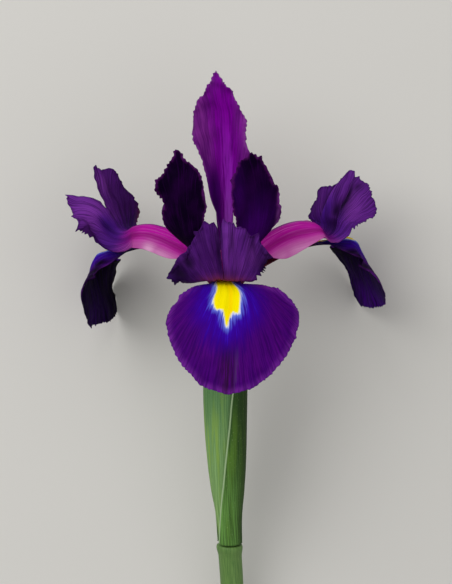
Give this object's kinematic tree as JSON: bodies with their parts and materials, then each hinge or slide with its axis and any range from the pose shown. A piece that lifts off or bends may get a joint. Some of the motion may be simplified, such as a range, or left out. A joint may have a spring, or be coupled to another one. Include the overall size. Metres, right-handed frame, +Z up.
{
  "type": "cut iris flower",
  "caption": "Cut Dutch iris flower lying on its back: purple petals, yellow signal patch, violet style arms, green spathe and short stem.",
  "frame": {"origin": "middle of the flower's outline on the surface it lies on", "axes": "+Y along the stem towards the tip of the rear standard, +X to the flower's right as the picture shows it, +Z up from the surface towards the front fall"},
  "size_m": [0.098, 0.181, 0.0815],
  "materials": {
    "fall": "velvety petal",
    "standard_back": "satin petal",
    "standard_front": "satin petal",
    "style": "satin petal",
    "stamen": "matte pollen",
    "stem": "waxy green",
    "ovary": "waxy green",
    "spathe_outer": "waxy green",
    "spathe_inner": "waxy green"
  },
  "bodies": {
    "root": {"stem": "stem", "ovary": "ovary", "spathe_outer": "spathe_outer", "spathe_inner": "spathe_inner", "fall_front": "fall", "fall_left": "fall", "fall_right": "fall", "standard_back": "standard_back", "standard_left": "standard_front", "standard_right": "standard_front", "style_column": "style", "style_arm_front": "style", "style_arm_left": "style", "style_arm_right": "style", "stamen_front": "stamen", "stamen_left": "stamen", "stamen_right": "stamen"}
  },
  "joints": []
}
